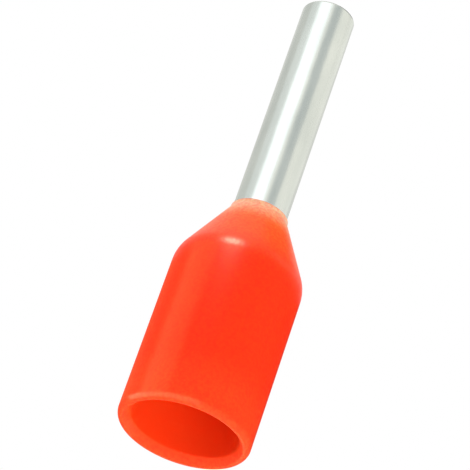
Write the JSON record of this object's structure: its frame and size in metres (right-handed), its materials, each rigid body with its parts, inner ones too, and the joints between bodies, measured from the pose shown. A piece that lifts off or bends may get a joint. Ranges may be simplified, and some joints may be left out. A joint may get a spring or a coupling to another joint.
{
  "type": "insulated wire ferrule",
  "caption": "Insulated bootlace ferrule: thin tin-plated copper sleeve with a flared wire end in a moulded orange-red collar that tapers onto it.",
  "frame": {"origin": "centre of the collar's mouth, in the plane of its rim, on the sleeve's axis", "axes": "+Z along the axis from the wire mouth to the sleeve's tip; the part is round, so +X and +Y are free"},
  "size_m": [0.0032, 0.003, 0.012],
  "materials": {
    "tinned_copper": "satin",
    "collar_polymer": "satin"
  },
  "bodies": {
    "root": {"sleeve": "tinned_copper", "collar": "collar_polymer"}
  },
  "joints": []
}
